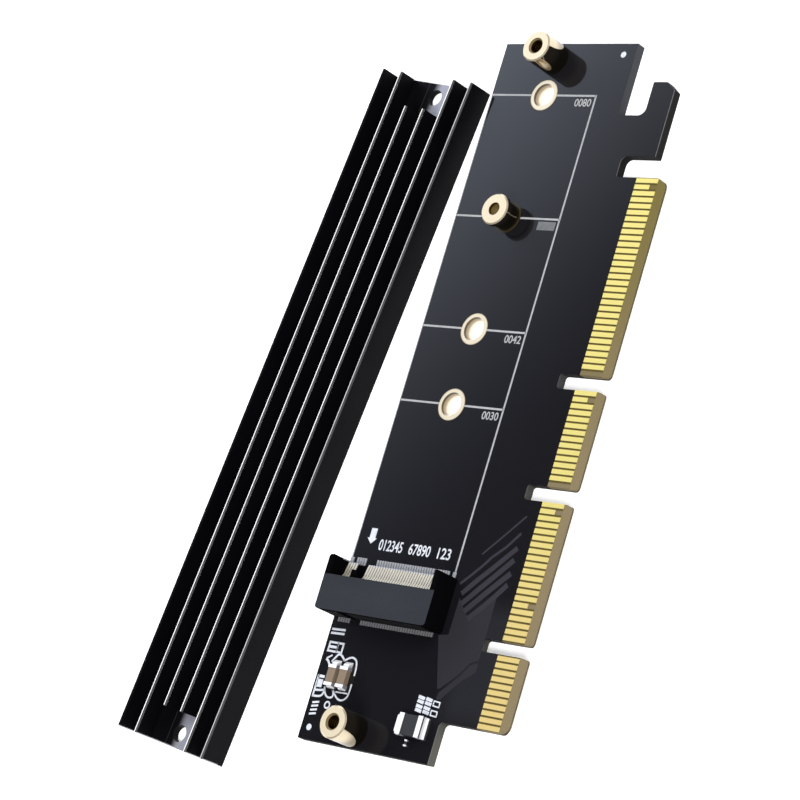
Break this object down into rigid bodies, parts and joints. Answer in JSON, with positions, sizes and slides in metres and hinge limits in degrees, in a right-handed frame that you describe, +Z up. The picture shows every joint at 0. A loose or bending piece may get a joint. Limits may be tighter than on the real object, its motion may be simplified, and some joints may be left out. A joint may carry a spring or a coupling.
{
  "type": "nvme adapter card",
  "caption": "Slot adapter card for a solid-state drive module, with socket, brass posts, plated holes and gold edge contacts, and its black finned heatsink lying beside it.",
  "frame": {"origin": "middle of the key notch on the finger edge, at the height of the surface that the card lies on", "axes": "+X along the card towards the latch hook's end, +Y from the edge contacts to the plain long edge, +Z up off the component side"},
  "size_m": [0.1181, 0.0723, 0.0066],
  "materials": {
    "board_mask": "glossy black solder mask over glass-fibre laminate",
    "finger_gold": "gold-plated edge contacts, bright",
    "hole_plating": "thin gold plating on copper, bright",
    "turned_brass": "turned brass, satin face with fine lathe rings",
    "socket_plastic": "moulded black plastic, fine matt",
    "contact_strip": "plated spring strip, satin",
    "tinned_metal": "tin plating, bright satin",
    "brown_ceramic": "fired ceramic, satin",
    "dark_ceramic": "dark glazed ceramic, satin",
    "black_anodised": "black anodised extrusion, satin"
  },
  "bodies": {
    "root": {"capacitor_1_body": "brown_ceramic", "capacitor_1_caps": "tinned_metal", "capacitor_2_body": "brown_ceramic", "capacitor_2_caps": "tinned_metal", "circuit_board": "board_mask", "edge_contacts_back_1": "finger_gold", "edge_contacts_back_2": "finger_gold", "edge_contacts_back_3": "finger_gold", "edge_contacts_back_4": "finger_gold", "edge_contacts_front_1": "finger_gold", "edge_contacts_front_2": "finger_gold", "edge_contacts_front_3": "finger_gold", "edge_contacts_front_4": "finger_gold", "fuse_body": "dark_ceramic", "fuse_caps": "tinned_metal", "heatsink": "black_anodised", "heatsink_post_far": "turned_brass", "heatsink_post_near": "turned_brass", "module_ring_1": "hole_plating", "module_ring_2": "hole_plating", "module_ring_3": "hole_plating", "module_ring_4": "hole_plating", "resistor_body": "dark_ceramic", "resistor_caps": "tinned_metal", "socket_hold_downs": "tinned_metal", "socket_housing": "socket_plastic", "socket_lower_contacts": "contact_strip", "socket_upper_contacts": "contact_strip", "ssd_screw": "turned_brass", "ssd_standoff": "turned_brass"}
  },
  "joints": []
}
